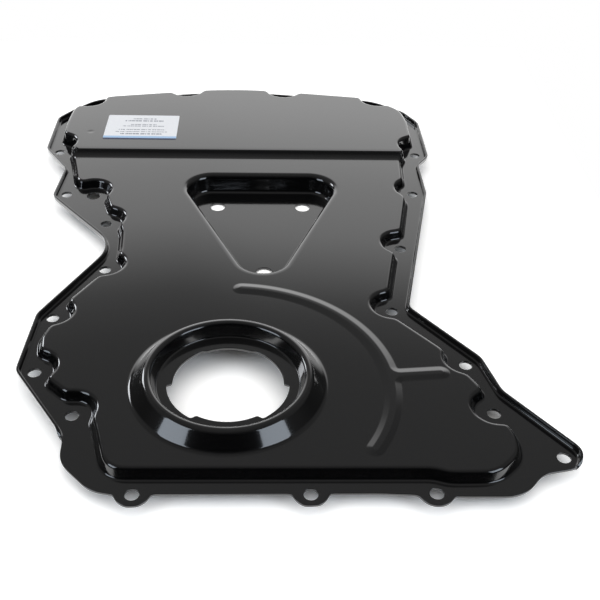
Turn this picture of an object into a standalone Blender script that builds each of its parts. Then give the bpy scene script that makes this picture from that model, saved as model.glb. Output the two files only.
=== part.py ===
"""Pressed steel timing cover of an engine, one sheet: flange, raised panel, collar, sunk triangle."""

import math

import bmesh
import bpy
import numpy as np
from mathutils import Vector
from mathutils.geometry import delaunay_2d_cdt

# Sheet and heights, in metres. Heights count from the upper face of the bolted flange.
SHEET = 0.0015
PANEL_HEIGHT = 0.0060
DOME_HEIGHT = 0.0100
WALL_RUN = 0.0036
LIP_HEIGHT = 0.0034

# The dome begins at this distance from the crank axis and rises over this length.
STEP_START = 0.2530
STEP_RUN = 0.0034

# Bolts of the flange. Each one bites this radius out of the raised panel.
BOLT_HOLE = 0.0070
WIDE_HOLE = 0.0090
SCALLOP_RADIUS = 0.0142
LOBE_RADIUS = 0.0090
LOBE_SHIFT = 0.0014
SUMP_BOLTS = [(-0.0442, -0.0722), (0.0414, -0.0722), (0.1022, -0.0717)]
EAR_BOLT = (0.1700, -0.0483)
RIGHT_BOLTS = [
    (0.1410, -0.0166),
    (0.1327, 0.0223),
    (0.0967, 0.0714),
    (0.1100, 0.1390),
    (0.1273, 0.2094),
    (0.1367, 0.2678),
]
TOP_BOLTS = [(0.1150, 0.3490), (0.0372, 0.3645), (-0.0434, 0.3648), (-0.1226, 0.3432)]
LEFT_BOLTS = [
    (-0.1349, 0.2683),
    (-0.1198, 0.2057),
    (-0.0870, 0.1671),
    (-0.0808, 0.1133),
    (-0.1052, 0.0637),
    (-0.1068, 0.0151),
    (-0.0810, -0.0186),
]
WIDE_BOLT = (-0.1007, 0.2040)

# Crank collar: a raised ring with a seal seat, its opening cut in three wide and three narrow arcs.
COLLAR_FOOT = 0.0535
COLLAR_CREST = 0.0427
COLLAR_HEIGHT = 0.0150
SEAT_RADIUS = 0.0392
SEAT_HEIGHT = 0.0068
OPENING_WIDE = 0.0329
OPENING_NARROW = 0.0297
WIDE_ARC = math.radians(54.0)

# Raised bead, an arc round the crank with one branch to the right.
BEAD_RADIUS = 0.0875
BEAD_WIDTH = 0.0076
BEAD_HEIGHT = 0.0014
BEAD_FROM = math.radians(-34.0)
BEAD_TO = math.radians(88.0)
BRANCH_ANGLE = math.radians(4.3)
BRANCH_LENGTH = 0.0290

# Sunk triangle: its floor lies below the flange and takes three bolts.
RECESS_CORNERS = [(-0.0480, 0.2284, 0.0210), (0.0196, 0.0690, 0.0195), (0.0830, 0.2284, 0.0210)]
RECESS_RUN = 0.0080
RECESS_FLOOR = -0.0070
RECESS_HOLE = 0.0096
RECESS_HOLES = [(-0.0127, 0.2020), (0.0478, 0.2020), (0.0200, 0.1200)]

# Corners of the flange, counter-clockwise from the lower left: x, y and corner radius.
FLANGE_CORNERS = [
    (-0.0828, -0.0510, 0.0220),
    (-0.0650, -0.0697, 0.0220),
    (-0.0540, -0.0719, 0.0200),
    (0.0750, -0.0715, 0.0500),
    (0.1150, -0.0735, 0.0300),
    (0.1450, -0.0735, 0.0210),
    (0.1570, -0.0591, 0.0140),
    (0.1858, -0.0532, 0.0090),
    (0.1480, -0.0015, 0.0090),
    (0.1418, 0.0257, 0.0090),
    (0.1070, 0.0723, 0.0070),
    (0.1366, 0.2064, 0.0080),
    (0.1366, 0.2480, 0.0080),
    (0.1458, 0.2612, 0.0080),
    (0.1458, 0.3180, 0.0160),
    (0.1360, 0.3375, 0.0200),
    (0.1120, 0.3575, 0.0400),
    (-0.0030, 0.3738, 0.2400),
    (-0.1180, 0.3560, 0.0300),
    (-0.1345, 0.3365, 0.0200),
    (-0.1448, 0.3210, 0.0100),
    (-0.1448, 0.2690, 0.0080),
    (-0.1257, 0.2385, 0.0080),
    (-0.1283, 0.1990, 0.0080),
    (-0.0783, 0.1378, 0.0280),
    (-0.1143, 0.0641, 0.0060),
    (-0.1166, 0.0140, 0.0060),
    (-0.0832, -0.0360, 0.0050),
]
# The lip starts at the ear on the right and ends at the notch on the lower left.
LIP_START = (0.1725, -0.0563)
LIP_END = (-0.0832, -0.0375)

# Corners of the raised panel's upper edge, before the bolts bite into it.
PANEL_CORNERS = [
    (-0.0572, -0.0597, 0.0110),
    (0.1030, -0.0597, 0.0150),
    (0.1090, -0.0625, 0.0150),
    (0.1330, -0.0622, 0.0180),
    (0.1455, -0.0500, 0.0140),
    (0.1462, -0.0385, 0.0060),
    (0.1350, -0.0020, 0.0200),
    (0.1190, 0.0300, 0.0200),
    (0.0950, 0.0590, 0.0080),
    (0.0925, 0.0740, 0.0080),
    (0.1020, 0.1220, 0.0200),
    (0.1098, 0.1500, 0.0200),
    (0.1180, 0.1930, 0.0200),
    (0.1213, 0.2500, 0.0200),
    (0.1330, 0.2810, 0.0150),
    (0.1335, 0.3080, 0.0300),
    (0.1305, 0.3270, 0.0200),
    (0.1100, 0.3485, 0.0450),
    (-0.0040, 0.3660, 0.2300),
    (-0.1120, 0.3465, 0.0400),
    (-0.1310, 0.3280, 0.0200),
    (-0.1327, 0.3000, 0.0300),
    (-0.1322, 0.2840, 0.0150),
    (-0.1215, 0.2570, 0.0200),
    (-0.1165, 0.2360, 0.0200),
    (-0.1120, 0.2160, 0.0060),
    (-0.0920, 0.2080, 0.0080),
    (-0.0840, 0.1800, 0.0080),
    (-0.0770, 0.1670, 0.0080),
    (-0.0725, 0.1500, 0.0200),
    (-0.0710, 0.1270, 0.0200),
    (-0.0760, 0.1080, 0.0080),
    (-0.0840, 0.0950, 0.0100),
    (-0.0970, 0.0720, 0.0100),
    (-0.1010, 0.0560, 0.0100),
    (-0.1055, 0.0400, 0.0080),
    (-0.1035, 0.0250, 0.0080),
    (-0.0970, 0.0060, 0.0080),
    (-0.0840, -0.0060, 0.0060),
    (-0.0720, -0.0140, 0.0060),
    (-0.0665, -0.0280, 0.0150),
]

# Sections as (share of the run, share of the height), from the foot up.
WALL_SECTION = [(0.0, 0.0), (0.24, 0.15), (0.60, 0.80), (0.78, 0.95), (1.0, 1.0)]
RECESS_SECTION = [(1.0, 0.0), (0.87, 0.05), (0.76, 0.18), (0.34, 0.86), (0.2, 0.97), (0.0, 1.0)]

# How finely the outlines are followed.
SAMPLE = 0.0008
CHORD_ERROR = 0.00022
CIRCLE_SIDES = 48
HOLE_SIDES = 12


def rounded(corners):
    """Closed outline through the given corners, each replaced by an arc of its own radius."""
    points = []
    count = len(corners)
    for i in range(count):
        here = np.array(corners[i][:2])
        back = np.array(corners[i - 1][:2]) - here
        ahead = np.array(corners[(i + 1) % count][:2]) - here
        room = 0.49 * min(np.hypot(*back), np.hypot(*ahead))
        back = back / np.hypot(*back)
        ahead = ahead / np.hypot(*ahead)
        half = math.acos(float(np.clip(np.dot(back, ahead), -1, 1))) / 2
        radius = min(corners[i][2], room * math.tan(half))
        reach = radius / math.tan(half)
        centre = here + (back + ahead) / np.hypot(*(back + ahead)) * radius / math.sin(half)
        first = here + back * reach - centre
        sweep = math.pi - 2 * half
        turn = math.copysign(sweep, -back[0] * ahead[1] + back[1] * ahead[0])
        steps = max(2, math.ceil(sweep / 0.05))
        for k in range(steps + 1):
            c = math.cos(turn * k / steps)
            s = math.sin(turn * k / steps)
            points.append(centre + [c * first[0] - s * first[1], s * first[0] + c * first[1]])
    return resampled(np.array(points))


def resampled(points):
    """The same closed outline with evenly spaced points."""
    loop = np.vstack([points, points[:1]])
    length = np.concatenate([[0], np.cumsum(np.hypot(*np.diff(loop, axis=0).T))])
    count = int(round(length[-1] / SAMPLE))
    at = np.linspace(0, length[-1], count, endpoint=False)
    return np.column_stack([np.interp(at, length, loop[:, k]) for k in (0, 1)])


def bitten(points, bolts, radius):
    """Pushes the outline out of a circle round each bolt."""
    points = points.copy()
    for bolt in bolts:
        away = points - bolt
        far = np.hypot(*away.T)
        near = far < radius
        points[near] = bolt + away[near] / far[near, None] * radius
    return resampled(points)


def eased(points, width):
    """Rounds the kinks of a closed outline over the given width."""
    reach = int(3 * width / SAMPLE)
    weights = np.exp(-0.5 * (np.arange(-reach, reach + 1) * SAMPLE / width) ** 2)
    weights = weights / weights.sum()
    loop = np.vstack([points[-reach:], points, points[:reach]])
    return np.column_stack([np.convolve(loop[:, k], weights, "valid") for k in (0, 1)])


def inset(points, depth):
    """Moves each point of a counter-clockwise outline inwards by its depth."""
    along = np.roll(points, -2, 0) - np.roll(points, 2, 0)
    along = along / np.hypot(*along.T)[:, None]
    inward = np.column_stack([-along[:, 1], along[:, 0]])
    return points + inward * np.broadcast_to(depth, len(points))[:, None]


def kept(points, error, forced=()):
    """Indices of the points that hold the outline within the error."""
    count = len(points)
    marks = {0, count // 3, 2 * count // 3, *forced}
    spans = list(zip(sorted(marks), sorted(marks)[1:] + [count]))
    while spans:
        a, b = spans.pop()
        if b - a < 2:
            continue
        chord = points[b % count] - points[a]
        size = max(np.hypot(*chord), 1e-9)
        off = points[a + 1 : b] - points[a]
        gap = np.abs(off[:, 0] * chord[1] - off[:, 1] * chord[0]) / size
        worst = int(np.argmax(gap))
        if gap[worst] > error or size > 0.045:
            middle = a + 1 + worst if gap[worst] > error else (a + b) // 2
            marks.add(middle)
            spans += [(a, middle), (middle, b)]
    return np.array(sorted(marks))


def circle(centre, radius, sides):
    turns = np.arange(sides) * 2 * math.pi / sides
    return np.column_stack([np.cos(turns), np.sin(turns)]) * radius + centre


def inside(points, loop):
    """Which points lie within a closed outline."""
    result = np.zeros(len(points), bool)
    ends = np.roll(loop, -1, 0)
    for (x0, y0), (x1, y1) in zip(loop, ends):
        crosses = (y0 > points[:, 1]) != (y1 > points[:, 1])
        slope = (x1 - x0) / (y1 - y0) if y1 != y0 else 0.0
        result ^= crosses & (points[:, 0] < x0 + (points[:, 1] - y0) * slope)
    return result


class Sheet:
    """Collects the upper face of the pressing as points and faces."""

    def __init__(self):
        self.points = []
        self.faces = []

    def ring(self, outline, heights):
        """Adds one closed row of points and returns its numbers."""
        first = len(self.points)
        heights = np.broadcast_to(heights, len(outline))
        self.points += [(x, y, z) for (x, y), z in zip(outline, heights)]
        return list(range(first, first + len(outline)))

    def strip(self, outer, inner):
        """Joins two rows that have the same number of points."""
        for i in range(len(outer)):
            j = (i + 1) % len(outer)
            self.faces.append((outer[i], outer[j], inner[j], inner[i]))

    def fill(self, outer, holes, lines, height):
        """Covers the area between one outer row and its holes, along any given guide lines."""
        numbers = list(outer)
        edges = [(i, (i + 1) % len(outer)) for i in range(len(outer))]
        for hole in holes:
            first = len(numbers)
            numbers += hole
            edges += [(first + i, first + (i + 1) % len(hole)) for i in range(len(hole))]
        flat = [self.points[n][:2] for n in numbers]
        for line in lines:
            first = len(flat)
            flat += [tuple(p) for p in line]
            edges += [(first + i, first + i + 1) for i in range(len(line) - 1)]
        # The triangulation works in millimetres, so that its tolerance suits the sizes here.
        made = delaunay_2d_cdt([Vector(p) * 1000 for p in flat], edges, [], 0, 1e-5, True)
        found = np.array([tuple(v) for v in made[0]]) / 1000
        middles = np.array([found[list(face)].mean(axis=0) for face in made[2]])
        loops = [np.array([self.points[n][:2] for n in loop]) for loop in [outer, *holes]]
        wanted = inside(middles, loops[0])
        for loop in loops[1:]:
            wanted &= ~inside(middles, loop)
        number = {}
        for new, old in enumerate(made[3]):
            given = [k for k in old if k < len(numbers)]
            if given:
                number[new] = numbers[given[0]]
        for face, good in zip(made[2], wanted):
            if not good:
                continue
            for v in face:
                if v not in number:
                    x, y = found[v]
                    number[v] = len(self.points)
                    self.points.append((x, y, height(x, y)))
            self.faces.append(tuple(number[v] for v in face))


def roof(y):
    """Height of the raised panel at a distance from the crank axis: low, a short rise, then the dome."""
    share = np.clip((np.asarray(y) - STEP_START) / STEP_RUN, 0, 1)
    return PANEL_HEIGHT + (DOME_HEIGHT - PANEL_HEIGHT) * share * share * (3 - 2 * share)


def ridge(off):
    """Height of a bead at a distance from its middle line."""
    share = min(1.0, abs(off) / (BEAD_WIDTH / 2))
    return BEAD_HEIGHT * (1 + math.cos(math.pi * share)) / 2


def bead(x, y):
    """Height that the arc and its branch add to the panel."""
    angle = math.atan2(y, x)
    beyond = max(BEAD_FROM - angle, angle - BEAD_TO, 0) * BEAD_RADIUS
    arc = ridge(math.hypot(math.hypot(x, y) - BEAD_RADIUS, beyond))
    c = math.cos(BRANCH_ANGLE)
    s = math.sin(BRANCH_ANGLE)
    along = c * x + s * y - BEAD_RADIUS
    beyond = max(-along, along - BRANCH_LENGTH, 0)
    return max(arc, ridge(math.hypot(c * y - s * x, beyond)))


def panel_height(x, y):
    return float(roof(y)) + bead(x, y)


def bead_lines():
    """Guide lines along the arc and its branch, so that the panel's triangles follow them."""
    lines = []
    half = BEAD_WIDTH / 2
    turns = np.linspace(BEAD_FROM, BRANCH_ANGLE, 8)
    turns = np.concatenate([turns, np.linspace(BRANCH_ANGLE, BEAD_TO, 16)[1:]])
    for share in (-1.0, -0.5, 0.0, 0.5, 1.0):
        radius = BEAD_RADIUS + share * half
        lines.append(np.column_stack([np.cos(turns), np.sin(turns)]) * radius)
    c = math.cos(BRANCH_ANGLE)
    s = math.sin(BRANCH_ANGLE)
    for share in (-1.0, -0.5, 0.0, 0.5, 1.0):
        along = np.linspace(BEAD_RADIUS, BEAD_RADIUS + BRANCH_LENGTH, 4)
        off = share * half
        lines.append(np.column_stack([c * along - s * off, s * along + c * off]))
    for angle, way in ((BEAD_FROM, -1), (BEAD_TO, 1)):
        for share in (0.5, 1.0):
            turns = np.linspace(0, math.pi, 7)
            x = BEAD_RADIUS + half * share * np.cos(turns)
            y = way * half * share * np.sin(turns)
            ca = math.cos(angle)
            sa = math.sin(angle)
            lines.append(np.column_stack([ca * x - sa * y, sa * x + ca * y]))
    return lines


def step_lines(edge):
    """Guide lines across the panel where it rises to the dome."""
    lines = []
    for share in (0.0, 0.25, 0.75, 1.0):
        y = STEP_START + share * STEP_RUN
        crossing = edge[np.abs(edge[:, 1] - y) < 2 * SAMPLE, 0]
        left = crossing[crossing < 0].max() + 0.0012
        right = crossing[crossing > 0].min() - 0.0012
        lines.append(np.array([(left, y), (left / 3, y), (right / 3, y), (right, y)]))
    return lines


def opening():
    """Outline of the crank opening: wide and narrow arcs by turns, the first wide one at the top."""
    points = []
    narrow = 2 * math.pi / 3 - WIDE_ARC
    for k in range(3):
        middle = math.radians(90 + 120 * k)
        for start, sweep, radius in (
            (middle - WIDE_ARC / 2 + 0.03, WIDE_ARC - 0.06, OPENING_WIDE),
            (middle + WIDE_ARC / 2 + 0.03, narrow - 0.06, OPENING_NARROW),
        ):
            for turn in np.linspace(start, start + sweep, 9):
                points.append((radius * math.cos(turn), radius * math.sin(turn)))
    return np.array(points)


def lip_share(edge):
    """How far each point of the flange edge is turned up: 1 on the lip, 0 where the edge is flat."""
    start = int(np.argmin(np.hypot(*(edge - LIP_START).T)))
    end = int(np.argmin(np.hypot(*(edge - LIP_END).T)))
    count = len(edge)
    place = (np.arange(count) - start) % count
    length = (end - start) % count
    fade = 0.010 / SAMPLE
    share = np.clip(np.minimum(place, length - place) / fade, 0, 1)
    share[place > length] = 0
    return share * share * (3 - 2 * share)


def build_sheet():
    sheet = Sheet()

    # Flange edge with its turned-up lip, four rows of points from the inside out.
    lobes = [(x, y + LOBE_SHIFT) for x, y in SUMP_BOLTS]
    edge = eased(bitten(rounded(FLANGE_CORNERS), lobes, LOBE_RADIUS), 0.0016)
    lip = lip_share(edge)
    pick = kept(edge, CHORD_ERROR, [int(np.argmax(lip > 0)), int(np.argmax(lip > 0.5))])
    fades = np.flatnonzero((lip > 0) & (lip < 1))[::4]
    pick = np.array(sorted({*pick, *fades}))
    rows = []
    for flat, up, rise in ((2, 2.0, 0.0), (1.3, 1.35, 0.10), (0.6, 1.0, 0.34), (0, 1.0, 1.0)):
        depth = SHEET * (flat + (up - flat) * lip)
        rows.append(sheet.ring(inset(edge, depth)[pick], LIP_HEIGHT * rise * lip[pick]))
    for inner, outer in zip(rows, rows[1:]):
        sheet.strip(outer, inner)

    # Side wall of the raised panel, from its foot on the flange to the upper edge.
    bolts = RIGHT_BOLTS + TOP_BOLTS + LEFT_BOLTS + [WIDE_BOLT]
    brink = eased(bitten(rounded(PANEL_CORNERS), bolts, SCALLOP_RADIUS), 0.0018)
    levels = [
        int(np.argmin(np.abs(brink[:, 1] - y) + 1e3 * (side * brink[:, 0] < 0)))
        for y in np.linspace(STEP_START, STEP_START + STEP_RUN, 5)
        for side in (-1, 1)
    ]
    pick = kept(brink, CHORD_ERROR, levels)
    top = roof(brink[pick, 1])
    wall = []
    for run, rise in WALL_SECTION:
        wall.append(sheet.ring(inset(brink, WALL_RUN * (run - 1))[pick], top * rise))
    for outer, inner in zip(wall, wall[1:]):
        sheet.strip(outer, inner)

    # Flat flange between the two, with its bolt holes.
    holes = []
    for bolt in RIGHT_BOLTS + TOP_BOLTS + LEFT_BOLTS + SUMP_BOLTS + [EAR_BOLT]:
        holes.append(sheet.ring(circle(bolt, BOLT_HOLE / 2, HOLE_SIDES), 0.0))
    holes.append(sheet.ring(circle(WIDE_BOLT, WIDE_HOLE / 2, HOLE_SIDES), 0.0))
    sheet.fill(rows[0], [wall[0]] + holes, [], lambda x, y: 0.0)

    # Sunk triangle: its brink on the panel, its wall down and its floor with three holes.
    brim = rounded(RECESS_CORNERS)
    if np.sum(brim[:, 0] * np.roll(brim[:, 1], -1) - brim[:, 1] * np.roll(brim[:, 0], -1)) < 0:
        brim = brim[::-1]
    pick = kept(brim, CHORD_ERROR)
    sink = []
    for run, rise in RECESS_SECTION[::-1]:
        heights = RECESS_FLOOR + (PANEL_HEIGHT - RECESS_FLOOR) * rise
        sink.append(sheet.ring(inset(brim, RECESS_RUN * run)[pick], heights))
    for outer, inner in zip(sink, sink[1:]):
        sheet.strip(outer, inner)
    holes = [sheet.ring(circle(h, RECESS_HOLE / 2, 18), RECESS_FLOOR) for h in RECESS_HOLES]
    sheet.fill(sink[-1], holes, [], lambda x, y: RECESS_FLOOR)

    # Collar: a turned section from its foot over the crest to the seal seat.
    slope = COLLAR_FOOT - COLLAR_CREST
    rise = COLLAR_HEIGHT - PANEL_HEIGHT
    drop = COLLAR_HEIGHT - SEAT_HEIGHT
    wall_in = COLLAR_CREST - SEAT_RADIUS
    section = [
        (COLLAR_FOOT, PANEL_HEIGHT),
        (COLLAR_FOOT - 0.12 * slope, PANEL_HEIGHT + 0.05 * rise),
        (COLLAR_FOOT - 0.26 * slope, PANEL_HEIGHT + 0.22 * rise),
        (COLLAR_FOOT - 0.70 * slope, PANEL_HEIGHT + 0.84 * rise),
        (COLLAR_FOOT - 0.85 * slope, PANEL_HEIGHT + 0.96 * rise),
        (COLLAR_CREST, COLLAR_HEIGHT),
        (COLLAR_CREST - 0.45 * wall_in, COLLAR_HEIGHT - 0.06 * drop),
        (COLLAR_CREST - 0.70 * wall_in, COLLAR_HEIGHT - 0.25 * drop),
        (SEAT_RADIUS, COLLAR_HEIGHT - 0.85 * drop),
        (SEAT_RADIUS - 0.18 * wall_in, COLLAR_HEIGHT - 0.97 * drop),
        (SEAT_RADIUS - 0.50 * wall_in, SEAT_HEIGHT),
    ]
    turned = [sheet.ring(circle((0, 0), r, CIRCLE_SIDES), z) for r, z in section]
    for outer, inner in zip(turned, turned[1:]):
        sheet.strip(outer, inner)
    cut = sheet.ring(opening(), SEAT_HEIGHT)
    sheet.fill(turned[-1], [cut], [], lambda x, y: SEAT_HEIGHT)

    # Raised panel and dome, one face round the collar and the triangle.
    lines = bead_lines() + step_lines(brink)
    sheet.fill(wall[-1], [sink[0], turned[0]], lines, panel_height)
    return sheet


def make_cover(sheet):
    """Gives the sheet its thickness below the upper face and puts it on its lowest point."""
    mesh = bpy.data.meshes.new("timing_cover")
    mesh.from_pydata(sheet.points, [], sheet.faces)
    bm = bmesh.new()
    bm.from_mesh(mesh)
    bmesh.ops.remove_doubles(bm, verts=bm.verts, dist=1e-6)
    bmesh.ops.dissolve_degenerate(bm, dist=1e-6, edges=bm.edges)
    bmesh.ops.recalc_face_normals(bm, faces=bm.faces)
    if sum(f.normal.z * f.calc_area() for f in bm.faces) < 0:
        bmesh.ops.reverse_faces(bm, faces=bm.faces)
    bm.to_mesh(mesh)
    bm.free()
    cover = bpy.data.objects.new("timing_cover", mesh)
    bpy.context.scene.collection.objects.link(cover)
    thick = cover.modifiers.new("thickness", "SOLIDIFY")
    thick.thickness = SHEET
    thick.offset = -1.0
    thick.use_even_offset = True
    thick.use_quality_normals = True
    thick.use_rim = True
    graph = bpy.context.evaluated_depsgraph_get()
    solid = bpy.data.meshes.new_from_object(cover.evaluated_get(graph))
    cover.modifiers.clear()
    cover.data = solid
    corners = np.array([tuple(v.co) for v in solid.vertices])
    low = corners.min(axis=0)
    high = corners.max(axis=0)
    for vertex in solid.vertices:
        vertex.co.x -= (low[0] + high[0]) / 2
        vertex.co.y -= (low[1] + high[1]) / 2
        vertex.co.z -= low[2]
    return cover


def paint():
    """Black gloss paint."""
    material = bpy.data.materials.new("black_gloss_paint")
    material.use_nodes = True
    shader = material.node_tree.nodes["Principled BSDF"]
    shader.inputs["Base Color"].default_value = (0.012, 0.012, 0.013, 1.0)
    shader.inputs["Roughness"].default_value = 0.18
    shader.inputs["Metallic"].default_value = 0.0
    return material


for leftover in list(bpy.data.objects):
    bpy.data.objects.remove(leftover)
timing_cover = make_cover(build_sheet())
timing_cover.data.materials.clear()
timing_cover.data.materials.append(paint())
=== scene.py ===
import math

import bmesh
import bpy
import numpy as np
from mathutils import Euler, Matrix, Vector


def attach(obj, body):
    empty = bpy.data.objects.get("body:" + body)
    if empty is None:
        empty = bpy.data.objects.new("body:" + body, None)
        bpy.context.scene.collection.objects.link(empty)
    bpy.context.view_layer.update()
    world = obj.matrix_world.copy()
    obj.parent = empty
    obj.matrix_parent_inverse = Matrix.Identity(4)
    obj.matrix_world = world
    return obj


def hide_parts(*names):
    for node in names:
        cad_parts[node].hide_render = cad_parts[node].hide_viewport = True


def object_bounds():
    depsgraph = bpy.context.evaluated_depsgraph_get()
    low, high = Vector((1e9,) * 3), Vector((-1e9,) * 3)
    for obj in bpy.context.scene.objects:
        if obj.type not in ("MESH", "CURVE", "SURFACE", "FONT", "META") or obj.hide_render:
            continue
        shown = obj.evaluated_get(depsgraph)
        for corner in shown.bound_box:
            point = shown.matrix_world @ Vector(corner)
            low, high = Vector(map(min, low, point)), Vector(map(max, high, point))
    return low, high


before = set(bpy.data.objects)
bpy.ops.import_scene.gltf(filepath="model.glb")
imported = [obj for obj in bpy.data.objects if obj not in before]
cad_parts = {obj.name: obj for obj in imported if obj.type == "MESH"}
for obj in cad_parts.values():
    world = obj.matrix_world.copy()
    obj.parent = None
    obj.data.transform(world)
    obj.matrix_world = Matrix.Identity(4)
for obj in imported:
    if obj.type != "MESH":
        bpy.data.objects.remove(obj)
cad_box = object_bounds()

# The bolted flange of the cover, pressed in one stroke from a blank of 1.5 mm sheet steel and
# trimmed. It is flat, and its edge turns up into a low lip all round except along the sump,
# where three lobes carry bolts. The lip fades out over 10 mm.
SHEET = 0.0015
FLANGE_LEFT = 0.1448
FLANGE_FAR = 0.37115
FLANGE_FACE = 0.0085

# The crank axis is the origin of every outline. The flange ends 144.8 mm left of it and
# 371.15 mm beyond it.
CRANK = Vector((cad_box[0][0] + FLANGE_LEFT, cad_box[1][1] - FLANGE_FAR, FLANGE_FACE))

FLANGE_CORNERS = [
    (-0.0828, -0.0510, 0.0220), (-0.0650, -0.0697, 0.0220), (-0.0540, -0.0719, 0.0200),
    (0.0750, -0.0715, 0.0500), (0.1150, -0.0735, 0.0300), (0.1450, -0.0735, 0.0210),
    (0.1570, -0.0591, 0.0140), (0.1858, -0.0532, 0.0090), (0.1480, -0.0015, 0.0090),
    (0.1418, 0.0257, 0.0090), (0.1070, 0.0723, 0.0070), (0.1366, 0.2064, 0.0080),
    (0.1366, 0.2480, 0.0080), (0.1458, 0.2612, 0.0080), (0.1458, 0.3180, 0.0160),
    (0.1360, 0.3375, 0.0200), (0.1120, 0.3575, 0.0400), (-0.0030, 0.3738, 0.2400),
    (-0.1180, 0.3560, 0.0300), (-0.1345, 0.3365, 0.0200), (-0.1448, 0.3210, 0.0100),
    (-0.1448, 0.2690, 0.0080), (-0.1257, 0.2385, 0.0080), (-0.1283, 0.1990, 0.0080),
    (-0.0783, 0.1378, 0.0280), (-0.1143, 0.0641, 0.0060), (-0.1166, 0.0140, 0.0060),
    (-0.0832, -0.0360, 0.0050),
]
SUMP_BOLTS = [(-0.0442, -0.0722), (0.0414, -0.0722), (0.1022, -0.0717)]
LIP_HEIGHT = 0.0034
LIP_BEND = 0.0012
LIP_FADE = 0.010
LIP_START = (0.1725, -0.0563)
LIP_END = (-0.0832, -0.0375)
LOBE_RADIUS = 0.0090
LOBE_SHIFT = 0.0014
EDGE_SOFTNESS = 0.0016
EDGE_MARGIN = 0.0024
LIP_STEPS = 6

# Every outline is sampled evenly, thinned to its chord error, and meets its flats in a landing.
SAMPLE = 0.0008
CHORD_ERROR = 0.000015
LANDING = 0.0005
CORNER_ROOM = 0.49
CORNER_STEP = 0.05
LONGEST_CHORD = 0.012


def rounded(corners):
    """Closed outline through corners of (x, y, radius), each replaced by its arc."""
    points = []
    count = len(corners)
    for i in range(count):
        here = np.array(corners[i][:2])
        back = np.array(corners[i - 1][:2]) - here
        ahead = np.array(corners[(i + 1) % count][:2]) - here
        room = CORNER_ROOM * min(np.hypot(*back), np.hypot(*ahead))
        back = back / np.hypot(*back)
        ahead = ahead / np.hypot(*ahead)
        half = math.acos(float(np.clip(np.dot(back, ahead), -1, 1))) / 2
        radius = min(corners[i][2], room * math.tan(half))
        middle = (back + ahead) / np.hypot(*(back + ahead))
        centre = here + middle * radius / math.sin(half)
        first = here + back * radius / math.tan(half) - centre
        sweep = math.pi - 2 * half
        turn = math.copysign(sweep, -back[0] * ahead[1] + back[1] * ahead[0])
        for angle in np.linspace(0, turn, max(3, math.ceil(sweep / CORNER_STEP) + 1)):
            c = math.cos(angle)
            s = math.sin(angle)
            points.append(centre + [c * first[0] - s * first[1], s * first[0] + c * first[1]])
    return resampled(np.array(points))


def resampled(points):
    """The same closed outline with evenly spaced points."""
    loop = np.vstack([points, points[:1]])
    length = np.concatenate([[0], np.cumsum(np.hypot(*np.diff(loop, axis=0).T))])
    count = int(round(length[-1] / SAMPLE))
    at = np.linspace(0, length[-1], count, endpoint=False)
    return np.column_stack([np.interp(at, length, loop[:, k]) for k in (0, 1)])


def bitten(points, bolts, radius):
    """Pushes an outline out of a circle round each bolt."""
    points = points.copy()
    for bolt in bolts:
        away = points - bolt
        far = np.hypot(*away.T)
        near = far < radius
        points[near] = bolt + away[near] / far[near, None] * radius
    return resampled(points)


def eased(points, width):
    """Rounds the kinks of a closed outline over the given width."""
    reach = int(3 * width / SAMPLE)
    weights = np.exp(-0.5 * (np.arange(-reach, reach + 1) * SAMPLE / width) ** 2)
    loop = np.vstack([points[-reach:], points, points[:reach]])
    weights = weights / weights.sum()
    return np.column_stack([np.convolve(loop[:, k], weights, "valid") for k in (0, 1)])


def inset(points, depth):
    """Moves each point of a counter-clockwise outline inwards by its depth."""
    along = np.roll(points, -2, 0) - np.roll(points, 2, 0)
    along = along / np.hypot(*along.T)[:, None]
    inward = np.column_stack([-along[:, 1], along[:, 0]])
    return points + inward * np.broadcast_to(depth, len(points))[:, None]


def kept(points, forced=()):
    """Numbers of the points that hold an outline within the chord error."""
    count = len(points)
    marks = sorted({0, count // 3, 2 * count // 3, *forced})
    spans = list(zip(marks, marks[1:] + [count]))
    marks = set(marks)
    while spans:
        a, b = spans.pop()
        if b - a < 2:
            continue
        chord = points[b % count] - points[a]
        size = max(np.hypot(*chord), 1e-9)
        off = points[a + 1 : b] - points[a]
        gap = np.abs(off[:, 0] * chord[1] - off[:, 1] * chord[0]) / size
        worst = a + 1 + int(np.argmax(gap))
        if gap.max() > CHORD_ERROR or size > LONGEST_CHORD:
            middle = worst if gap.max() > CHORD_ERROR else (a + b) // 2
            marks.add(middle)
            spans += [(a, middle), (middle, b)]
    return np.array(sorted(marks))


def new_row(bm, outline, heights):
    """A closed row of points joined by edges."""
    verts = bmesh.ops.create_circle(bm, segments=len(outline), radius=1.0)["verts"]
    place = bm.verts.layers.int["place"]
    heights = np.broadcast_to(heights, len(outline))
    for i, (v, (x, y), z) in enumerate(zip(verts, outline, heights)):
        v.co = (x, y, z)
        v[place] = i
    return list({e for v in verts for e in v.link_edges})


def pulled(bm, row, outline, heights):
    """Extrudes a row to the next outline, and returns the new row."""
    made = bmesh.ops.extrude_edge_only(bm, edges=row)["geom"]
    place = bm.verts.layers.int["place"]
    heights = np.broadcast_to(heights, len(outline))
    fresh = {v for v in made if isinstance(v, bmesh.types.BMVert)}
    for v in fresh:
        x, y = outline[v[place]]
        v.co = (x, y, heights[v[place]])
    edges = {e for v in fresh for e in v.link_edges}
    return [e for e in edges if e.verts[0] in fresh and e.verts[1] in fresh]


def swept(bm, rings):
    """Extrudes a row through rings of (outline, heights). Returns its first and last rows."""
    first = new_row(bm, *rings[0])
    row = first
    for outline, heights in rings[1:]:
        row = pulled(bm, row, outline, heights)
    return first, row


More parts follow.
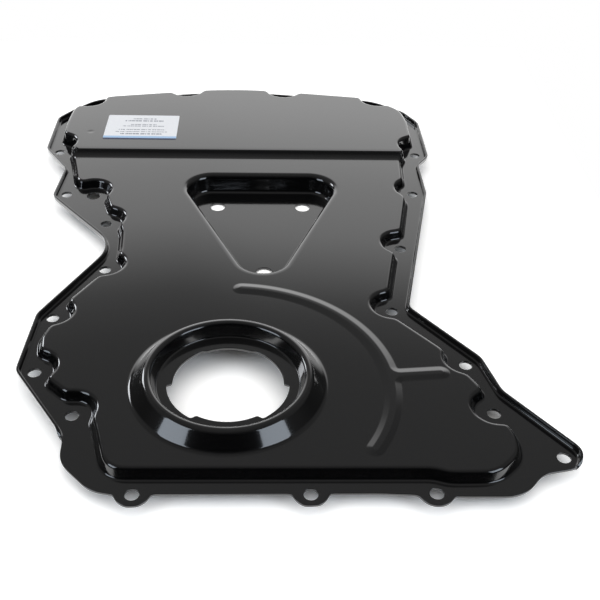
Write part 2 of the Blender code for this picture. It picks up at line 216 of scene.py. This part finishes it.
bm = bmesh.new()
bm.verts.layers.int.new("place")
lobes = [(x, y + LOBE_SHIFT) for x, y in SUMP_BOLTS]
edge = eased(bitten(rounded(FLANGE_CORNERS), lobes, LOBE_RADIUS), EDGE_SOFTNESS)
start = int(np.argmin(np.hypot(*(edge - LIP_START).T)))
end = int(np.argmin(np.hypot(*(edge - LIP_END).T)))
along = (np.arange(len(edge)) - start) % len(edge)
length = (end - start) % len(edge)
lip = np.clip(np.minimum(along, length - along) * SAMPLE / LIP_FADE, 0, 1)
lip[along > length] = 0
lip = lip * lip * (3 - 2 * lip)
pick = kept(edge, np.flatnonzero((lip > 0) & (lip < 1)))
upright = [(SHEET, LIP_HEIGHT), (SHEET, LIP_HEIGHT - LANDING)]
for turn in np.linspace(0, math.pi / 2, LIP_STEPS + 1):
    run = SHEET + LIP_BEND * (1 - math.cos(turn))
    upright.append((run, LIP_BEND * (1 - math.sin(turn))))
upright.append((upright[-1][0] + LANDING, 0.0))
level = list(np.linspace(0.0, EDGE_MARGIN, len(upright)))
rings = []
for (up, rise), flat in zip(upright, level):
    rings.append((inset(edge, flat + (up - flat) * lip)[pick], rise * lip[pick]))
flange_row = swept(bm, rings)[1]

# The wall of the raised panel climbs 6 mm from the flange, and 10 mm round the dome.
# Each bolt bites a pocket into it, so that its head and a socket find room.
PANEL_HEIGHT = 0.0060
DOME_HEIGHT = 0.0100
PANEL_CORNERS = [
    (-0.0572, -0.0597, 0.0110), (0.1030, -0.0597, 0.0150), (0.1090, -0.0625, 0.0150),
    (0.1330, -0.0622, 0.0180), (0.1455, -0.0500, 0.0140), (0.1462, -0.0385, 0.0060),
    (0.1350, -0.0020, 0.0200), (0.1190, 0.0300, 0.0200), (0.0950, 0.0590, 0.0080),
    (0.0925, 0.0740, 0.0080), (0.1020, 0.1220, 0.0200), (0.1098, 0.1500, 0.0200),
    (0.1180, 0.1930, 0.0200), (0.1213, 0.2500, 0.0200), (0.1330, 0.2810, 0.0150),
    (0.1335, 0.3080, 0.0300), (0.1305, 0.3270, 0.0200), (0.1100, 0.3485, 0.0450),
    (-0.0040, 0.3660, 0.2300), (-0.1120, 0.3465, 0.0400), (-0.1310, 0.3280, 0.0200),
    (-0.1327, 0.3000, 0.0300), (-0.1322, 0.2840, 0.0150), (-0.1215, 0.2570, 0.0200),
    (-0.1165, 0.2360, 0.0200), (-0.1120, 0.2160, 0.0060), (-0.0920, 0.2080, 0.0080),
    (-0.0840, 0.1800, 0.0080), (-0.0770, 0.1670, 0.0080), (-0.0725, 0.1500, 0.0200),
    (-0.0710, 0.1270, 0.0200), (-0.0760, 0.1080, 0.0080), (-0.0840, 0.0950, 0.0100),
    (-0.0970, 0.0720, 0.0100), (-0.1010, 0.0560, 0.0100), (-0.1055, 0.0400, 0.0080),
    (-0.1035, 0.0250, 0.0080), (-0.0970, 0.0060, 0.0080), (-0.0840, -0.0060, 0.0060),
    (-0.0720, -0.0140, 0.0060), (-0.0665, -0.0280, 0.0150),
]
EDGE_BOLTS = [
    (0.1410, -0.0166), (0.1327, 0.0223), (0.0967, 0.0714), (0.1100, 0.1390),
    (0.1273, 0.2094), (0.1367, 0.2678), (0.1147, 0.3486), (0.0372, 0.3634),
    (-0.0434, 0.3637), (-0.1223, 0.3428), (-0.1349, 0.2683), (-0.1198, 0.2057),
    (-0.0870, 0.1671), (-0.0808, 0.1133), (-0.1052, 0.0637), (-0.1068, 0.0151),
    (-0.0810, -0.0186),
]
EAR_BOLT = (0.1700, -0.0483)
WIDE_BOLT = (-0.1007, 0.2040)
SCALLOP_RADIUS = 0.0142
WALL_RUN = 0.0036
WALL_FOOT = 0.0003
WALL_TOP = 0.00275
FOOT_RADIUS = 0.0015
CREST_RADIUS = 0.0026
STEP_FOOT = 0.2524
STEP_TOP = 0.2560
STEP_MARGIN = 0.0042
STEP_FOOT_RADIUS = 0.0075
STEP_TOP_RADIUS = 0.0014
WALL_SOFTNESS = 0.0018


def bent(corners, segments=7):
    """Section through corners of (run, rise, radius), each bend as an arc, lower end first."""
    section = [corners[0][:2]]
    for before, corner, after in zip(corners, corners[1:], corners[2:]):
        here = np.array(corner[:2])
        back = np.array(before[:2]) - here
        ahead = np.array(after[:2]) - here
        back = back / np.hypot(*back)
        ahead = ahead / np.hypot(*ahead)
        half = math.acos(float(np.dot(back, ahead))) / 2
        middle = (back + ahead) / np.hypot(*(back + ahead))
        centre = here + middle * corner[2] / math.sin(half)
        sweep = math.pi - 2 * half
        turn = math.copysign(sweep, -back[0] * ahead[1] + back[1] * ahead[0])
        first = here + back * corner[2] / math.tan(half) - centre
        for angle in np.linspace(0, turn, segments + 1):
            c = math.cos(angle)
            s = math.sin(angle)
            spoke = [c * first[0] - s * first[1], s * first[0] + c * first[1]]
            section.append(tuple(centre + spoke))
    section.append(corners[-1][:2])
    return section


step = np.array(bent([
    (STEP_FOOT - STEP_MARGIN, PANEL_HEIGHT),
    (STEP_FOOT, PANEL_HEIGHT, STEP_FOOT_RADIUS),
    (STEP_TOP, DOME_HEIGHT, STEP_TOP_RADIUS),
    (STEP_TOP + STEP_MARGIN, DOME_HEIGHT),
]))


def roof(y):
    """Height of the panel at a distance from the crank: low, a short rise, then the dome."""
    return np.interp(y, step[:, 0], step[:, 1])


def wall_section(height):
    """Section of the wall up to a height, with a landing at its foot and its top."""
    return bent([
        (-2 * LANDING, 0.0),
        (WALL_FOOT, 0.0, FOOT_RADIUS),
        (WALL_TOP, height, CREST_RADIUS),
        (WALL_RUN + 3 * LANDING, height),
    ])


pockets = EDGE_BOLTS + [WIDE_BOLT]
brink = eased(bitten(rounded(PANEL_CORNERS), pockets, SCALLOP_RADIUS), WALL_SOFTNESS)
step_middle = (STEP_FOOT + STEP_TOP) / 2
pick = kept(brink, np.flatnonzero(np.abs(brink[:, 1] - step_middle) < 2 * STEP_MARGIN))
tops = roof(inset(brink, 3 * LANDING)[pick, 1])
sections = np.array([wall_section(float(top)) for top in tops])
rings = []
for k in range(sections.shape[1]):
    depth = np.zeros(len(brink))
    depth[pick] = sections[:, k, 0] - WALL_RUN
    rings.append((inset(brink, depth)[pick], sections[:, k, 1]))
foot_row, panel_row = swept(bm, rings)

# Twenty-one holes for M6 bolts and one wider hole are punched through the flange. The flat
# sheet between its edge, the foot of the wall and the holes is then filled in.
BOLT_HOLE = 0.0070
WIDE_HOLE = 0.0090


def circle(centre, radius, sides):
    """Points evenly round a circle."""
    turns = np.arange(sides) * 2 * math.pi / sides
    return np.column_stack([np.cos(turns), np.sin(turns)]) * radius + centre


def punched(bm, centre, radius, height, sides=36):
    """A round hole: its edge and a landing round it. Returns the outer row."""
    rings = [(circle(centre, r, sides), height) for r in (radius, radius + LANDING)]
    return swept(bm, rings)[1]


def flat_fill(bm, rows):
    """Covers the flat between rows, the first one outside and the others as holes."""
    edges = [e for row in rows for e in row]
    made = bmesh.ops.triangle_fill(bm, edges=edges, use_beauty=True, normal=(0, 0, 1))
    return [f for f in made["geom"] if isinstance(f, bmesh.types.BMFace)]


bolts = EDGE_BOLTS + SUMP_BOLTS + [EAR_BOLT]
holes = [punched(bm, bolt, BOLT_HOLE / 2, 0.0) for bolt in bolts]
holes.append(punched(bm, WIDE_BOLT, WIDE_HOLE / 2, 0.0))
flat_fill(bm, [flange_row, foot_row] + holes)

# The sunk triangle: a wall 13 mm deep round a flat floor, drawn down from the same sheet.
# Three bolts pass through the floor.
RECESS_CORNERS = [
    (-0.0480, 0.2284, 0.0210), (0.0196, 0.0690, 0.0195), (0.0830, 0.2284, 0.0210),
]
RECESS_BOLTS = [(-0.0127, 0.2020), (0.0478, 0.2020), (0.0200, 0.1215)]
RECESS_FLOOR = -0.0070
RECESS_HOLE = 0.0102
RECESS_BRINK = 0.0034
RECESS_BRINK_RADIUS = 0.0042
RECESS_FOOT = 0.0058
RECESS_FOOT_RADIUS = 0.0030
RECESS_RUN = 0.0080
recess_wall = bent([
    (-3 * LANDING, PANEL_HEIGHT),
    (RECESS_BRINK, PANEL_HEIGHT, RECESS_BRINK_RADIUS),
    (RECESS_FOOT, RECESS_FLOOR, RECESS_FOOT_RADIUS),
    (RECESS_RUN + 3 * LANDING, RECESS_FLOOR),
])
brim = rounded(RECESS_CORNERS)
pick = kept(brim)
recess_row, floor_row = swept(bm, [(inset(brim, run)[pick], rise) for run, rise in recess_wall])
holes = [punched(bm, bolt, RECESS_HOLE / 2, RECESS_FLOOR) for bolt in RECESS_BOLTS]
flat_fill(bm, [floor_row] + holes)

# The collar round the crank is drawn up 15 mm and turned over into the seal seat. Its
# opening is trimmed to two wide arcs at the near sides, three narrow ones and a flat far one.
SEAT_HEIGHT = 0.0068
COLLAR_HEIGHT = 0.0150
OPENING_WIDE = 0.0329
OPENING_NARROW = 0.0297
OPENING_FAR = 0.0287
WIDE_ARC = math.radians(54.0)
COLLAR_SIDES = 180
COLLAR_SKIRT = 0.0555
COLLAR_FOOT = 0.0524
COLLAR_OUTER = 0.0449
COLLAR_INNER = 0.0411
COLLAR_BEND = 0.0040
COLLAR_INNER_BEND = 0.0024
SEAT_EDGE = 0.0386
SEAT_BEND = 0.0010
SEAT_INNER = 0.0370
ARC_MARGIN = 0.02
ARC_STEPS = 40
OPENING_SOFTNESS = 0.0006
collar = bent([
    (COLLAR_SKIRT, PANEL_HEIGHT),
    (COLLAR_FOOT, PANEL_HEIGHT, COLLAR_BEND),
    (COLLAR_OUTER, COLLAR_HEIGHT, COLLAR_BEND),
    (COLLAR_INNER, COLLAR_HEIGHT, COLLAR_INNER_BEND),
    (SEAT_EDGE, SEAT_HEIGHT, SEAT_BEND),
    (SEAT_INNER, SEAT_HEIGHT),
], 9)
collar_row, seat_row = swept(
    bm, [(circle((0, 0), radius, COLLAR_SIDES), rise) for radius, rise in collar])
arcs = []
for k in range(3):
    middle = math.radians(90 + 120 * k)
    narrow = 2 * math.pi / 3 - WIDE_ARC
    for begin, sweep, radius in (
        (middle - WIDE_ARC / 2, WIDE_ARC, OPENING_WIDE if k else OPENING_FAR),
        (middle + WIDE_ARC / 2, narrow, OPENING_NARROW),
    ):
        begin = begin + ARC_MARGIN
        for turn in np.linspace(begin, begin + (sweep - 2 * ARC_MARGIN), ARC_STEPS):
            arcs.append((radius * math.cos(turn), radius * math.sin(turn)))
opening = eased(resampled(np.array(arcs)), OPENING_SOFTNESS)
opening_row = swept(bm, [(opening, SEAT_HEIGHT), (inset(opening, -LANDING), SEAT_HEIGHT)])[1]
flat_fill(bm, [seat_row, opening_row])

# A bead stiffens the panel: an arc round the crank and one branch out to the right edge,
# pressed 0.9 mm up from the same sheet.
BEAD_CENTRE = np.array([0.0008, -0.0012])
BEAD_RADIUS = 0.0873
BEAD_WIDTH = 0.0108
BEAD_HEIGHT = 0.0009
BEAD_FROM = math.radians(-32.6)
BEAD_TO = math.radians(86.6)
BRANCH_ANGLE = math.radians(5.1)
BRANCH_END = 0.1155
BEAD_BEND = 0.0050
BEAD_BRINK = 0.0003
BEAD_SHOULDER = 0.0014
BEAD_CREST = 0.0008
BEAD_SOFTNESS = 0.0009


def arc(radius, begin, finish, centre=(0.0, 0.0), steps=60):
    """Points along an arc."""
    turns = np.linspace(begin, finish, steps)
    return np.column_stack([np.cos(turns), np.sin(turns)]) * radius + centre


half = BEAD_WIDTH / 2
outer = BEAD_RADIUS + half
gap = math.asin(half / outer)
axis = np.array([math.cos(BRANCH_ANGLE), math.sin(BRANCH_ANGLE)])
head = BEAD_RADIUS * np.array([math.cos(BEAD_TO), math.sin(BEAD_TO)])
tail = BEAD_RADIUS * np.array([math.cos(BEAD_FROM), math.sin(BEAD_FROM)])
bead = np.vstack([
    arc(outer, BEAD_FROM, BRANCH_ANGLE - gap),
    arc(half, BRANCH_ANGLE - math.pi / 2, BRANCH_ANGLE + math.pi / 2, axis * BRANCH_END, 20),
    arc(outer, BRANCH_ANGLE + gap, BEAD_TO),
    arc(half, BEAD_TO, BEAD_TO + math.pi, head, 20),
    arc(BEAD_RADIUS - half, BEAD_TO, BEAD_FROM, steps=90),
    arc(half, BEAD_FROM + math.pi, BEAD_FROM + 2 * math.pi, tail, 20),
])
bead = eased(resampled(bead + BEAD_CENTRE), BEAD_SOFTNESS)
pick = kept(bead)
ridge = bent([
    (-LANDING, 0.0),
    (BEAD_BRINK, 0.0, BEAD_BEND),
    (half - BEAD_SHOULDER, BEAD_HEIGHT, BEAD_BEND),
    (half - BEAD_CREST, BEAD_HEIGHT),
], 5)
bead_row, crest_row = swept(
    bm, [(inset(bead, depth)[pick], PANEL_HEIGHT + rise) for depth, rise in ridge])
flat_fill(bm, [crest_row])

# The dome over the camshaft drive starts with a short step right across the panel. A small
# round dimple is pressed into it near its left end.
DIMPLE = (-0.1129, 0.2839)
DIMPLE_RADIUS = 0.0034
DIMPLE_DEPTH = 0.00014
DIMPLE_SIDES = 32
rings = [(circle(DIMPLE, DIMPLE_RADIUS + LANDING, DIMPLE_SIDES), DOME_HEIGHT)]
for share in (1.0, 0.85, 0.7, 0.5, 0.3, 0.1):
    drop = DIMPLE_DEPTH * (1 + math.cos(math.pi * share)) / 2
    rings.append((circle(DIMPLE, DIMPLE_RADIUS * share, DIMPLE_SIDES), DOME_HEIGHT - drop))
dimple_row, hollow_row = swept(bm, rings)
flat_fill(bm, [hollow_row])
panel = flat_fill(bm, [panel_row, recess_row, collar_row, bead_row, dimple_row])
for y in step[:, 0]:
    geom = set(panel)
    geom |= {e for f in panel for e in f.edges}
    geom |= {v for f in panel for v in f.verts}
    split = bmesh.ops.bisect_plane(
        bm, geom=list(geom), dist=1e-7, plane_co=(0, float(y), 0), plane_no=(0, 1, 0))
    panel = [f for f in split["geom"] if isinstance(f, bmesh.types.BMFace)]
    for v in split["geom_cut"]:
        if isinstance(v, bmesh.types.BMVert):
            v.co.z = float(roof(v.co.y))

# Slivers are merged, and the sheet gets its thickness and its slightly rounded trimmed edges.
MERGED = 2e-5
SLIVER = 1e-5
TRIM_RADIUS = 0.00025
TRIM_ANGLE = math.radians(55)
bmesh.ops.triangulate(bm, faces=[f for f in bm.faces if len(f.verts) > 4])
bmesh.ops.remove_doubles(bm, verts=bm.verts, dist=MERGED)
bmesh.ops.dissolve_degenerate(bm, dist=SLIVER, edges=bm.edges)
bmesh.ops.recalc_face_normals(bm, faces=bm.faces)
if sum(f.normal.z * f.calc_area() for f in bm.faces) < 0:
    bmesh.ops.reverse_faces(bm, faces=bm.faces)
for face in bm.faces:
    face.smooth = True
bmesh.ops.translate(bm, verts=bm.verts, vec=CRANK)
cover_mesh = bpy.data.meshes.new("pressed_cover")
bm.to_mesh(cover_mesh)
bm.free()
pressed_cover = bpy.data.objects.new("pressed_cover", cover_mesh)
bpy.context.scene.collection.objects.link(pressed_cover)
thickness = pressed_cover.modifiers.new("sheet", "SOLIDIFY")
thickness.thickness = SHEET
thickness.offset = -1.0
thickness.use_even_offset = False
rolled = pressed_cover.modifiers.new("trimmed_edge", "BEVEL")
rolled.width = TRIM_RADIUS
rolled.segments = 2
rolled.limit_method = "ANGLE"
rolled.angle_limit = TRIM_ANGLE
rolled.use_clamp_overlap = False

# Black gloss paint over the whole cover: a nearly black base under a clear, slightly wavy
# skin.
PAINT_DEEP = (0.0012, 0.0012, 0.0013, 1.0)
PAINT_PALE = (0.0026, 0.0026, 0.0028, 1.0)
paint = bpy.data.materials.new("black_gloss_paint")
paint.use_nodes = True
nodes = paint.node_tree.nodes
links = paint.node_tree.links
shader = nodes["Principled BSDF"]
shader.inputs["Roughness"].default_value = 0.12
shader.inputs["Coat Weight"].default_value = 1.0
shader.inputs["Coat Roughness"].default_value = 0.06
place = nodes.new("ShaderNodeTexCoord")
grain = nodes.new("ShaderNodeTexNoise")
grain.inputs["Scale"].default_value = 900.0
grain.inputs["Detail"].default_value = 2.0
links.new(place.outputs["Object"], grain.inputs["Vector"])
tint = nodes.new("ShaderNodeValToRGB")
tint.color_ramp.elements[0].color = PAINT_DEEP
tint.color_ramp.elements[1].color = PAINT_PALE
links.new(grain.outputs["Fac"], tint.inputs["Fac"])
links.new(tint.outputs["Color"], shader.inputs["Base Color"])
peel = nodes.new("ShaderNodeBump")
peel.inputs["Strength"].default_value = 0.02
peel.inputs["Distance"].default_value = 0.0003
links.new(grain.outputs["Fac"], peel.inputs["Height"])
links.new(peel.outputs["Normal"], shader.inputs["Normal"])
cover_mesh.materials.append(paint)
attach(pressed_cover, "root")
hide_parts("timing_cover")

# Part label: glossy white paper stuck on the dome, its lines of print as plain grey bars,
# with a pale blue strip and a navy strip laid full width along its near edge.
LABEL_WIDTH = 0.0557
LABEL_DEPTH = 0.0406
LABEL_THICKNESS = 0.00012
LABEL_CENTRE = Vector((-0.0744, 0.2920, DOME_HEIGHT + LABEL_THICKNESS / 2))
LABEL_TURN = math.radians(-0.4)
LABEL_CORNER = 0.0012
PAPER_DULL = (0.75, 0.757, 0.785, 1.0)
PAPER_BRIGHT = (0.81, 0.818, 0.83, 1.0)
INK = (0.22, 0.23, 0.27, 1.0)
SKY_BLUE = (0.35, 0.52, 0.74, 1.0)
NAVY = (0.012, 0.020, 0.075, 1.0)

# Bars of print as (y, x, half width, half height), and strips as (y, half height, colour).
BARS = [
    (0.0140, 0.0010, 0.0090, 0.0007),
    (0.0105, 0.0010, 0.0150, 0.0009),
    (0.0040, 0.0010, 0.0100, 0.0006),
    (0.0015, 0.0010, 0.0160, 0.0006),
    (-0.0045, 0.0005, 0.0180, 0.0006),
    (-0.0080, 0.0005, 0.0200, 0.0005),
    (-0.0115, 0.0005, 0.0160, 0.0009),
]
STRIPS = [(-0.0167, 0.0016, SKY_BLUE), (-0.0194, 0.0011, NAVY)]

bm = bmesh.new()
bmesh.ops.create_cube(bm, size=1.0)
bmesh.ops.scale(bm, verts=bm.verts, vec=(LABEL_WIDTH, LABEL_DEPTH, LABEL_THICKNESS))
posts = [e for e in bm.edges if abs(e.verts[0].co.z - e.verts[1].co.z) > LABEL_THICKNESS / 2]
bmesh.ops.bevel(
    bm, geom=posts, offset=LABEL_CORNER, segments=6, profile=0.5, affect="EDGES", material=-1)
bmesh.ops.rotate(bm, verts=bm.verts, cent=(0, 0, 0), matrix=Matrix.Rotation(LABEL_TURN, 3, "Z"))
bmesh.ops.translate(bm, verts=bm.verts, vec=CRANK + LABEL_CENTRE)
label_mesh = bpy.data.meshes.new("paper_label")
bm.to_mesh(label_mesh)
bm.free()
paper_label = bpy.data.objects.new("paper_label", label_mesh)
bpy.context.scene.collection.objects.link(paper_label)

paper = bpy.data.materials.new("printed_label")
paper.use_nodes = True
nodes = paper.node_tree.nodes
links = paper.node_tree.links
shader = nodes["Principled BSDF"]
shader.inputs["Roughness"].default_value = 0.35
place = nodes.new("ShaderNodeTexCoord")
centred = nodes.new("ShaderNodeMapping")
centred.vector_type = "TEXTURE"
centred.inputs["Location"].default_value = CRANK + LABEL_CENTRE
centred.inputs["Rotation"].default_value = (0, 0, LABEL_TURN)
links.new(place.outputs["Object"], centred.inputs["Vector"])
axes = nodes.new("ShaderNodeSeparateXYZ")
links.new(centred.outputs["Vector"], axes.inputs["Vector"])


def near(value, centre, reach):
    """1 where a value lies within reach of a centre."""
    node = nodes.new("ShaderNodeMath")
    node.operation = "COMPARE"
    node.inputs[1].default_value = centre
    node.inputs[2].default_value = reach
    links.new(value, node.inputs[0])
    return node.outputs[0]


def both(a, b):
    """1 where both masks are 1."""
    node = nodes.new("ShaderNodeMath")
    node.operation = "MULTIPLY"
    links.new(a, node.inputs[0])
    links.new(b, node.inputs[1])
    return node.outputs[0]


def laid_over(ground, mask, colour):
    """Lays a colour over the ground where the mask is 1."""
    node = nodes.new("ShaderNodeMix")
    node.data_type = "RGBA"
    links.new(mask, node.inputs["Factor"])
    links.new(ground, node.inputs[6])
    node.inputs[7].default_value = colour
    return node.outputs[2]


fibre = nodes.new("ShaderNodeTexNoise")
fibre.inputs["Scale"].default_value = 400.0
links.new(centred.outputs["Vector"], fibre.inputs["Vector"])
stock = nodes.new("ShaderNodeValToRGB")
stock.color_ramp.elements[0].color = PAPER_DULL
stock.color_ramp.elements[1].color = PAPER_BRIGHT
links.new(fibre.outputs["Fac"], stock.inputs["Fac"])
colour = stock.outputs["Color"]
words = nodes.new("ShaderNodeTexNoise")
words.noise_dimensions = "1D"
words.inputs["Scale"].default_value = 700.0
links.new(axes.outputs["X"], words.inputs["W"])
letters = nodes.new("ShaderNodeMath")
letters.operation = "GREATER_THAN"
letters.inputs[1].default_value = 0.45
links.new(words.outputs["Fac"], letters.inputs[0])
for y, x, width, tall in BARS:
    bar = both(near(axes.outputs["Y"], y, tall), near(axes.outputs["X"], x, width))
    colour = laid_over(colour, both(bar, letters.outputs[0]), INK)
for y, tall, strip in STRIPS:
    colour = laid_over(colour, near(axes.outputs["Y"], y, tall), strip)
links.new(colour, shader.inputs["Base Color"])
label_mesh.materials.append(paper)
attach(paper_label, "root")

# The studio: a sheet of white card that keeps the soft shadow under the flange and ends
# not far beyond it, so that the steep walls mirror the dark room and not the card.
CARD_HALF_WIDTH = 0.25
CARD_HALF_DEPTH = 0.36
CARD_TOP = -0.00005
CARD_DULL = (0.92, 0.92, 0.92, 1.0)
CARD_BRIGHT = (0.95, 0.95, 0.95, 1.0)
CARD_SEEN = (1.42, 1.40, 1.37, 1.0)
bm = bmesh.new()
bmesh.ops.create_grid(bm, x_segments=1, y_segments=1, size=1.0)
bmesh.ops.scale(bm, verts=bm.verts, vec=(CARD_HALF_WIDTH, CARD_HALF_DEPTH, 1.0))
bmesh.ops.translate(bm, verts=bm.verts, vec=(0, 0, CARD_TOP))
table_mesh = bpy.data.meshes.new("table")
bm.to_mesh(table_mesh)
bm.free()
table = bpy.data.objects.new("table", table_mesh)
bpy.context.scene.collection.objects.link(table)
white = bpy.data.materials.new("white_table")
white.use_nodes = True
nodes = white.node_tree.nodes
links = white.node_tree.links
shader = nodes["Principled BSDF"]
shader.inputs["Roughness"].default_value = 0.9
shader.inputs["Specular IOR Level"].default_value = 0.0
place = nodes.new("ShaderNodeTexCoord")
weave = nodes.new("ShaderNodeTexNoise")
weave.inputs["Scale"].default_value = 60.0
links.new(place.outputs["Object"], weave.inputs["Vector"])
cloth = nodes.new("ShaderNodeValToRGB")
cloth.color_ramp.elements[0].color = CARD_DULL
cloth.color_ramp.elements[1].color = CARD_BRIGHT
links.new(weave.outputs["Fac"], cloth.inputs["Fac"])
path = nodes.new("ShaderNodeLightPath")
looked_at = nodes.new("ShaderNodeMath")
looked_at.operation = "MAXIMUM"
links.new(path.outputs["Is Camera Ray"], looked_at.inputs[0])
links.new(path.outputs["Is Transmission Ray"], looked_at.inputs[1])
mirrored = nodes.new("ShaderNodeMath")
mirrored.operation = "MAXIMUM"
links.new(looked_at.outputs[0], mirrored.inputs[0])
links.new(path.outputs["Is Glossy Ray"], mirrored.inputs[1])
bleach = nodes.new("ShaderNodeMix")
bleach.data_type = "RGBA"
bleach.inputs[7].default_value = CARD_SEEN
links.new(mirrored.outputs[0], bleach.inputs["Factor"])
links.new(cloth.outputs["Color"], bleach.inputs[6])
links.new(bleach.outputs[2], shader.inputs["Base Color"])
table_mesh.materials.append(white)

# The room: white to the camera, and in the gloss a pale wall low behind the part that
# fades to a dark ceiling.

# Brightness of the wall by the sine of the height looked at, lowest first. Each span is the
# part of a direction over which a brightness changes.
WALL_LEVELS = [
    (0.42, 0.89), (0.485, 0.68), (0.53, 0.64), (0.566, 0.32), (0.59, 0.11),
    (0.63, 0.045), (0.85, 0.045),
]
WALL_STRENGTH = 1.6
CEILING_STRENGTH = 0.20
LEFT_DROP = 0.016
FILL_LOW = 0.15
FILL_HIGH = 1.30
CEILING_LOW = 0.25
LEFT_SPAN = (-0.085, 0.03)
BEHIND_SPAN = (0.80, 0.93)
CEILING_SPAN = (-0.85, 0.05)
HEIGHT_SPAN = (0.15, 0.60)
FILL_SPAN = (0.45, 0.85)
world = bpy.data.worlds.new("studio")
world.use_nodes = True
bpy.context.scene.world = world
nodes = world.node_tree.nodes
links = world.node_tree.links
nodes.clear()
out = nodes.new("ShaderNodeOutputWorld")
way = nodes.new("ShaderNodeTexCoord")
parts = nodes.new("ShaderNodeSeparateXYZ")
links.new(way.outputs["Generated"], parts.inputs["Vector"])


def measured(operation, first, second=1.0):
    """A Math node; each entry is a number or another node's output."""
    node = nodes.new("ShaderNodeMath")
    node.operation = operation
    for socket, entry in zip(node.inputs, (first, second)):
        if isinstance(entry, float):
            socket.default_value = entry
        else:
            links.new(entry, socket)
    return node.outputs[0]


def blended(value, begin, finish, low, high):
    """A smooth change from low to high while a value runs from begin to finish."""
    node = nodes.new("ShaderNodeMapRange")
    node.interpolation_type = "SMOOTHSTEP"
    node.inputs["From Min"].default_value = begin
    node.inputs["From Max"].default_value = finish
    node.inputs["To Min"].default_value = low
    node.inputs["To Max"].default_value = high
    links.new(value, node.inputs["Value"])
    return node.outputs["Result"]


wall_height = nodes.new("ShaderNodeValToRGB")
stops = wall_height.color_ramp.elements
stops[0].position = 0.0
stops[0].color = (1.0, 1.0, 1.0, 1.0)
stops[1].position = 1.0
stops[1].color = (0.0, 0.0, 0.0, 1.0)
for sine, level in WALL_LEVELS:
    stop = stops.new(sine)
    stop.color = (level, level, level, 1.0)
lower_left = blended(parts.outputs["X"], *LEFT_SPAN, 0.0, LEFT_DROP)
links.new(measured("SUBTRACT", parts.outputs["Z"], lower_left), wall_height.inputs["Fac"])
flat_length = measured("SQRT", measured("SUBTRACT", 1.0, measured(
    "MULTIPLY", parts.outputs["Z"], parts.outputs["Z"])))
straight = measured("DIVIDE", parts.outputs["Y"], measured("MAXIMUM", flat_length, 0.01))
behind = blended(straight, *BEHIND_SPAN, 0.0, WALL_STRENGTH)
nearer = blended(parts.outputs["Y"], *CEILING_SPAN, 0.0, CEILING_STRENGTH)
higher = blended(parts.outputs["Z"], *HEIGHT_SPAN, CEILING_LOW, 1.0)
ceiling = measured("MULTIPLY", nearer, higher)
room = nodes.new("ShaderNodeBackground")
wall = measured("MULTIPLY", wall_height.outputs["Color"], behind)
links.new(measured("ADD", wall, ceiling), room.inputs["Strength"])
fill = nodes.new("ShaderNodeBackground")
fill.inputs["Color"].default_value = (1.0, 1.0, 1.0, 1.0)
fill_level = blended(parts.outputs["Z"], *FILL_SPAN, FILL_LOW, FILL_HIGH)
links.new(fill_level, fill.inputs["Strength"])
backdrop = nodes.new("ShaderNodeBackground")
backdrop.inputs["Color"].default_value = (1.0, 1.0, 1.0, 1.0)
backdrop.inputs["Strength"].default_value = 1.0
path = nodes.new("ShaderNodeLightPath")
gloss_or_fill = nodes.new("ShaderNodeMixShader")
links.new(path.outputs["Is Glossy Ray"], gloss_or_fill.inputs[0])
links.new(fill.outputs[0], gloss_or_fill.inputs[1])
links.new(room.outputs[0], gloss_or_fill.inputs[2])
seen = nodes.new("ShaderNodeMixShader")
links.new(path.outputs["Is Camera Ray"], seen.inputs[0])
links.new(gloss_or_fill.outputs[0], seen.inputs[1])
links.new(backdrop.outputs[0], seen.inputs[2])
links.new(seen.outputs[0], out.inputs["Surface"])

# Two square softboxes stand left and right of the camera, and a third one behind on the
# left, all 1.6 m away. Each is turned towards the part.
SOFTBOX_DISTANCE = 1.6
for name, azimuth, elevation, size, power, tone in (
    ("left_softbox", -58.0, 28.0, 0.75, 5.6, (0.80, 0.89, 1.0)),
    ("right_softbox", 50.0, 29.0, 0.75, 5.6, (0.80, 0.89, 1.0)),
    ("far_softbox", -132.0, 26.0, 0.42, 3.4, (0.93, 0.96, 1.0)),
):
    lamp = bpy.data.lights.new(name, "AREA")
    lamp.shape = "SQUARE"
    lamp.size = size
    lamp.energy = power
    lamp.color = tone
    softbox = bpy.data.objects.new(name, lamp)
    turn = math.radians(azimuth)
    rise = math.radians(elevation)
    flat = math.cos(rise)
    way = Vector((math.sin(turn) * flat, -math.cos(turn) * flat, math.sin(rise)))
    softbox.location = way * SOFTBOX_DISTANCE
    softbox.rotation_euler = way.to_track_quat("Z", "Y").to_euler()
    bpy.context.scene.collection.objects.link(softbox)

# Camera at the photograph's place: 0.35 m above the flange, looking 37 degrees down.
CAMERA_FROM_CRANK = Vector((0.0141, -0.3754, 0.3452))
CAMERA_LENS = 56.4
CAMERA_SENSOR = 36.0
CAMERA_SHIFT = 0.0333
CAMERA_TILT = math.radians(53.0)
CAMERA_HEADING = math.radians(-1.92)
CAMERA_ROLL = math.radians(1.42)
camera_data = bpy.data.cameras.new("camera")
camera_data.lens = CAMERA_LENS
camera_data.sensor_width = CAMERA_SENSOR
camera_data.shift_x = CAMERA_SHIFT
camera = bpy.data.objects.new("camera", camera_data)
turned = Euler((CAMERA_TILT, 0.0, CAMERA_HEADING)).to_matrix()
turned = turned @ Matrix.Rotation(CAMERA_ROLL, 3, "Z")
camera.matrix_world = Matrix.Translation(CRANK + CAMERA_FROM_CRANK) @ turned.to_4x4()
bpy.context.scene.collection.objects.link(camera)
bpy.context.scene.camera = camera
bpy.context.scene.view_settings.view_transform = "Standard"

bpy.context.view_layer.update()
